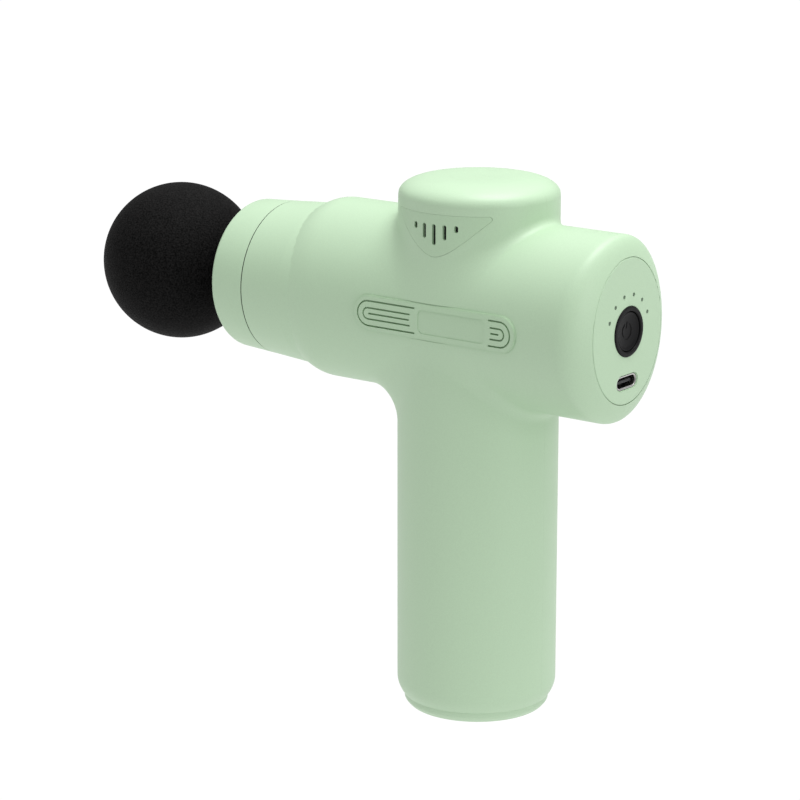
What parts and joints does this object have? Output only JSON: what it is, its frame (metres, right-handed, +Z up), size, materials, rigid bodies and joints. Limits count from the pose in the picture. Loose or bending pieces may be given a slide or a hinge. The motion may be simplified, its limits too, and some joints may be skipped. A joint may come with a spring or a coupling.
{
  "type": "massage gun",
  "caption": "Handheld percussion massage gun: T-shaped casing with a motor dome and battery grip, rear power button and charging port, and a round foam head driven along the barrel.",
  "frame": {"origin": "centre of the grip's flat base, on the surface that it stands on", "axes": "+Z up through the grip and the motor dome, -X along the barrel to the nose and the head, +Y to the right of a user who points it away"},
  "size_m": [0.1707, 0.0458, 0.143],
  "materials": {
    "mint_shell": "silky moulded ABS, fine texture",
    "mint_trim": "silky moulded ABS, fine texture",
    "black_plastic": "satin moulded ABS",
    "switch_plastic": "moulded, plain",
    "rubber": "matt silicone rubber",
    "foam": "fine closed-cell EVA foam, lightly speckled",
    "steel": "ground steel",
    "port_steel": "drawn and plated",
    "electrical_steel": "coated laminations",
    "aluminium": "turned, lightly anodised",
    "copper": "enamelled copper wire",
    "nylon": "glass-filled nylon",
    "circuit_board": "solder mask",
    "cell_wrap": "heat-shrink sleeve over a steel cell",
    "light_guide": "frosted polycarbonate",
    "screw_steel": "zinc-plated screw",
    "black_lead": "PVC sleeve",
    "red_lead": "PVC sleeve"
  },
  "bodies": {
    "casing": {"casing_left": "mint_shell", "casing_right": "mint_shell", "nose_ring": "mint_shell", "rear_panel": "mint_shell", "base_cap": "mint_shell", "badge_left": "mint_trim", "badge_right": "mint_trim", "vent_left": "mint_trim", "vent_right": "mint_trim", "button_bezel": "black_plastic", "usb_c_tongue": "switch_plastic", "tact_switch": "switch_plastic", "nose_seal": "rubber", "sleeve_damper": "rubber", "motor_bearing_lower": "steel", "motor_bearing_upper": "steel", "usb_c_shell": "port_steel", "motor_stator": "electrical_steel", "motor_bracket": "aluminium", "nickel_strip": "aluminium", "stator_windings": "copper", "drive_frame": "nylon", "guide_sleeve": "nylon", "battery_holder_bottom": "nylon", "battery_holder_top": "nylon", "control_board": "circuit_board", "driver_board": "circuit_board", "battery_cell_1": "cell_wrap", "battery_cell_2": "cell_wrap", "led_light_guide": "light_guide", "casing_screw_left_1": "screw_steel", "casing_screw_left_2": "screw_steel", "casing_screw_right_1": "screw_steel", "casing_screw_right_2": "screw_steel", "motor_screw_1": "screw_steel", "motor_screw_2": "screw_steel", "motor_screw_3": "screw_steel", "motor_screw_4": "screw_steel", "board_screw_1": "screw_steel", "board_screw_2": "screw_steel", "base_cap_screw_1": "screw_steel", "base_cap_screw_2": "screw_steel", "battery_lead_negative": "black_lead", "motor_cable": "black_lead", "signal_cable": "black_lead", "battery_lead_positive": "red_lead"},
    "rotor": {"rotor_can": "steel", "rotor_magnets": "electrical_steel", "motor_shaft": "steel", "crank_wheel": "steel", "crank_pin": "steel", "cooling_fan": "switch_plastic"},
    "crank_bearing": {"crank_bearing": "steel"},
    "plunger": {"plunger": "aluminium", "drive_yoke": "steel", "socket_oring": "rubber"},
    "head": {"head_stem": "black_plastic", "massage_ball": "foam"},
    "power_button": {"power_button": "black_plastic", "tact_switch_plunger": "nylon"}
  },
  "joints": [
    {"name": "crank_turn", "type": "hinge", "parent": "casing", "child": "rotor", "pos_m": [0, 0, 0.108], "axis": [0, 0, 1], "range_deg": [0, 180]},
    {"name": "plunger_stroke", "type": "slide", "parent": "casing", "child": "plunger", "axis": [-1, 0, 0], "range_m": [0, 0.00701]},
    {"name": "crank_bearing_spin", "type": "hinge", "parent": "rotor", "child": "crank_bearing", "pos_m": [0.0035, 0, 0.108], "axis": [0, 0, 1], "continuous": true},
    {"name": "head_pull", "type": "slide", "parent": "plunger", "child": "head", "axis": [-1, 0, 0], "range_m": [0, 0.03]},
    {"name": "power_button_press", "type": "slide", "parent": "casing", "child": "power_button", "axis": [-1, 0, 0], "range_m": [0, 0.0005], "stiffness_N_per_m": 1500}
  ],
  "couplings": [
    {"joint": "plunger_stroke", "follows": "crank_turn", "m_per_rad": 0.0022282}
  ]
}
